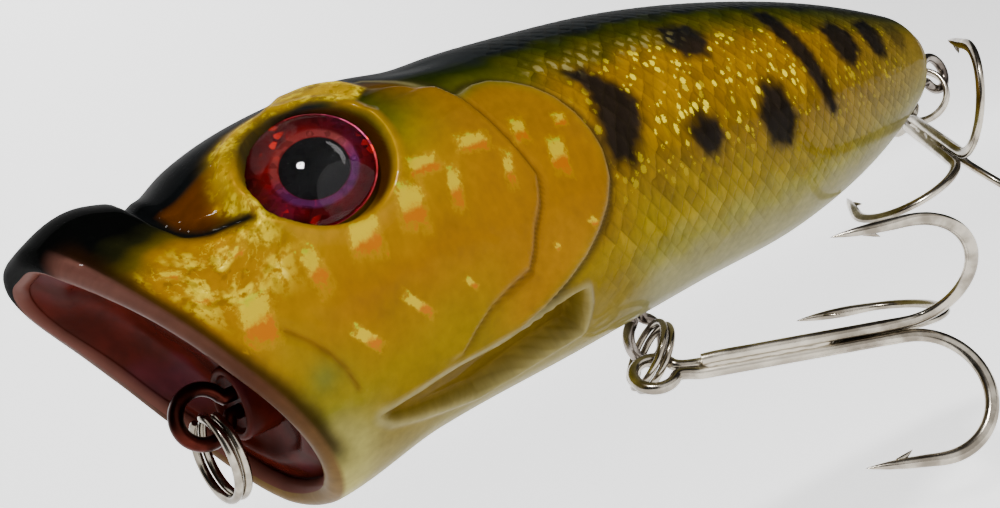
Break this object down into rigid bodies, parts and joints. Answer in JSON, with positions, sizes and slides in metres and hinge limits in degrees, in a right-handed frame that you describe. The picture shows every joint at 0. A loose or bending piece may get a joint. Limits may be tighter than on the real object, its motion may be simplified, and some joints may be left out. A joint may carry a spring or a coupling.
{
  "type": "topwater popper lure",
  "caption": "Topwater popper fishing lure with a cupped mouth, wire eyes, split rings and swinging treble hooks.",
  "frame": {"origin": "centre of the line tie's wire eye, in the middle plane of the body", "axes": "+X from the nose to the tail, +Z towards the back, -Y to the fish's left side"},
  "size_m": [0.0881, 0.0301, 0.0392],
  "materials": {
    "body_paint": "clear-coated paint",
    "mouth_paint": "clear-coated paint",
    "foil": "holographic film",
    "eye_foil": "holographic film",
    "eye_lens": "clear resin dome",
    "wire": "drawn stainless",
    "nickel": "nickel plate",
    "ballast": "tumbled"
  },
  "bodies": {
    "lure_body": {"body_shell_left": "body_paint", "body_shell_right": "body_paint", "mouth_cup": "mouth_paint", "foil_left": "foil", "foil_right": "foil", "eye_disc_left": "eye_foil", "eye_disc_right": "eye_foil", "eye_lens_left": "eye_lens", "eye_lens_right": "eye_lens", "line_tie_wire": "wire", "belly_hanger_wire": "wire", "tail_hanger_wire": "wire", "ballast_weight": "ballast"},
    "nose_ring": {"nose_split_ring": "nickel"},
    "belly_ring": {"belly_split_ring": "nickel"},
    "belly_treble": {"belly_treble_double_hook": "nickel", "belly_treble_single_hook": "nickel"},
    "tail_ring": {"tail_split_ring": "nickel"},
    "tail_treble": {"tail_treble_double_hook": "nickel", "tail_treble_single_hook": "nickel"},
    "ball_1": {"rattle_ball_1": "ballast"},
    "ball_2": {"rattle_ball_2": "ballast"},
    "ball_3": {"rattle_ball_3": "ballast"}
  },
  "joints": [
    {"name": "nose_ring_swing", "type": "hinge", "parent": "lure_body", "child": "nose_ring", "pos_m": [0, 0, 0], "axis": [0, 1, 0], "range_deg": [-35, 160]},
    {"name": "belly_ring_swing", "type": "hinge", "parent": "lure_body", "child": "belly_ring", "pos_m": [0.0328, 0, -0.0079], "axis": [1, 0, 0], "range_deg": [0, 75]},
    {"name": "belly_treble_swing", "type": "hinge", "parent": "belly_ring", "child": "belly_treble", "pos_m": [0.02952, -0.00329, -0.00986], "axis": [-0.3733, 0.7207, -0.5842], "range_deg": [-12, 116]},
    {"name": "tail_ring_swing", "type": "hinge", "parent": "lure_body", "child": "tail_ring", "pos_m": [0.0791, 0, 0.0019], "axis": [0, 1, 0], "range_deg": [-90, 0]},
    {"name": "tail_treble_swing", "type": "hinge", "parent": "tail_ring", "child": "tail_treble", "pos_m": [0.07598, 0.00267, -0.00102], "axis": [-0.0817, 0.6907, 0.7185], "range_deg": [-150, 0]},
    {"name": "ball_1_slide", "type": "slide", "parent": "lure_body", "child": "ball_1", "axis": [1, 0, 0], "range_m": [0, 0.0021]},
    {"name": "ball_2_slide", "type": "slide", "parent": "lure_body", "child": "ball_2", "axis": [1, 0, 0], "range_m": [0, 0.0021]},
    {"name": "ball_3_slide", "type": "slide", "parent": "lure_body", "child": "ball_3", "axis": [1, 0, 0], "range_m": [0, 0.0021]}
  ],
  "couplings": [
    {"joint": "ball_2_slide", "follows": "ball_1_slide", "ratio": 1},
    {"joint": "ball_3_slide", "follows": "ball_1_slide", "ratio": 1}
  ]
}
